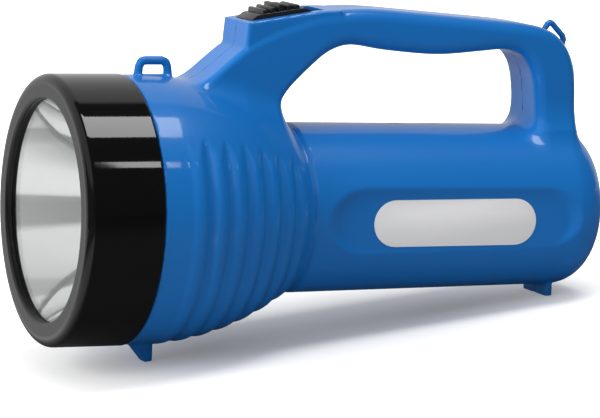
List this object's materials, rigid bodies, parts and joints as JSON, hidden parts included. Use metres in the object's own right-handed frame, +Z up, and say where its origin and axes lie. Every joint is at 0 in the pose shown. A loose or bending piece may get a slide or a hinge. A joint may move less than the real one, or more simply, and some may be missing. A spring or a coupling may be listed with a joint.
{
  "type": "handheld searchlight",
  "caption": "Blue moulded handheld searchlight with a gloss black bezel, bright reflector, carrying handle, thumb slide switch, strap eyes and two feet",
  "frame": {"origin": "middle of the underside of the bounding box, on the floor under both feet", "axes": "+X the way the lamp faces along the floor, +Y to the lamp's left, +Z up; the beam points about 7.8 degrees above the floor when the light stands on its feet"},
  "size_m": [0.2482, 0.11, 0.1384],
  "materials": {
    "body_blue": "injection moulded, gloss",
    "bezel_black": "injection moulded, gloss with a satin front rim",
    "lens_clear": "clear, polished",
    "seal_black": "soft, matt",
    "reflector_bright": "vacuum metallised",
    "board_white": "white solder mask",
    "emitter_yellow": "phosphor under a clear dome",
    "sink_grey": "as extruded",
    "steel": "zinc plated",
    "knob_black": "fine satin",
    "lever_white": "moulded",
    "switch_brown": "moulded",
    "brass": "tinned edge, plain",
    "battery_grey": "moulded case",
    "pad_grey": "closed cell foam",
    "board_green": "green solder mask",
    "parts_dark": "moulded components",
    "indicator_red": "clear tinted",
    "label_grey": "blank, satin",
    "wire_red": "insulation",
    "wire_black": "insulation"
  },
  "bodies": {
    "body": {"body_left": "body_blue", "body_right": "body_blue", "body_screws": "steel", "reflector": "reflector_bright", "led_board": "board_white", "led_emitter": "emitter_yellow", "heat_sink": "sink_grey", "heat_sink_screws": "steel", "switch_frame": "steel", "switch_body": "switch_brown", "switch_terminals": "brass", "switch_screws": "steel", "battery": "battery_grey", "battery_terminals": "brass", "battery_pads": "pad_grey", "charger_board": "board_green", "board_parts": "parts_dark", "charge_socket": "knob_black", "socket_pin": "steel", "charge_indicator": "indicator_red", "label_left": "label_grey", "label_right": "label_grey", "lamp_wire_red": "wire_red", "lamp_wire_black": "wire_black", "battery_wire_red": "wire_red", "charge_wire_red": "wire_red", "charge_wire_black": "wire_black"},
    "bezel_ring": {"bezel": "bezel_black", "lens": "lens_clear", "lens_seal": "seal_black"},
    "switch_slider": {"switch_knob": "knob_black", "switch_lever": "lever_white"}
  },
  "joints": [
    {"name": "bezel_turn", "type": "hinge", "parent": "body", "child": "bezel_ring", "pos_m": [0.11718, 0, 0.06802], "axis": [0.9907, 0, 0.1362], "range_deg": [0, 30]},
    {"name": "switch_slide", "type": "slide", "parent": "body", "child": "switch_slider", "axis": [-0.9999, 0, 0.0153], "range_m": [0, 0.0045]}
  ]
}
